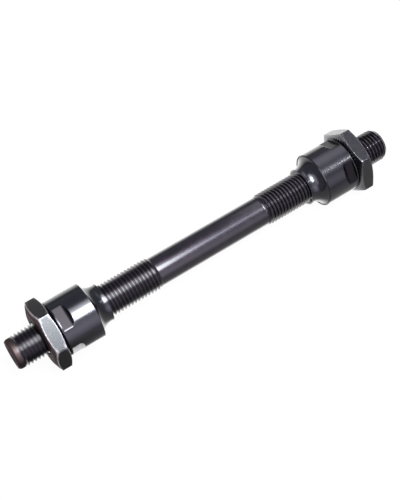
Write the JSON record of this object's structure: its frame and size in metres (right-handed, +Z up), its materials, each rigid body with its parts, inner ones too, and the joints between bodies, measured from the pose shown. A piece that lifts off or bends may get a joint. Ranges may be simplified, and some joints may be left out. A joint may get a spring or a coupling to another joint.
{
  "type": "quick release front axle",
  "caption": "Hollow threaded bicycle front wheel axle with a bearing cone and a hexagonal locknut on each end, black oxide steel.",
  "frame": {"origin": "middle of the axle, on its own axis", "axes": "+X along the axle towards the end with the longer stub, +Z up, as the axle lies on a table on a flat of the +X locknut"},
  "size_m": [0.115, 0.0196, 0.0192],
  "materials": {
    "axle_steel": "black oxide, oiled",
    "cone_steel": "black oxide, ground and polished",
    "nut_steel": "black oxide"
  },
  "bodies": {
    "axle": {"axle": "axle_steel"},
    "cone_left": {"cone_left": "cone_steel"},
    "cone_right": {"cone_right": "cone_steel"},
    "locknut_left": {"locknut_left": "nut_steel"},
    "locknut_right": {"locknut_right": "nut_steel"}
  },
  "joints": [
    {"name": "cone_left_travel", "type": "slide", "parent": "axle", "child": "cone_left", "axis": [1, 0, 0], "range_m": [0, 0.013]},
    {"name": "cone_right_travel", "type": "slide", "parent": "axle", "child": "cone_right", "axis": [-1, 0, 0], "range_m": [0, 0.013]},
    {"name": "locknut_left_travel", "type": "slide", "parent": "axle", "child": "locknut_left", "axis": [-1, 0, 0], "range_m": [0, 0.007]},
    {"name": "locknut_right_travel", "type": "slide", "parent": "axle", "child": "locknut_right", "axis": [1, 0, 0], "range_m": [0, 0.007]}
  ]
}
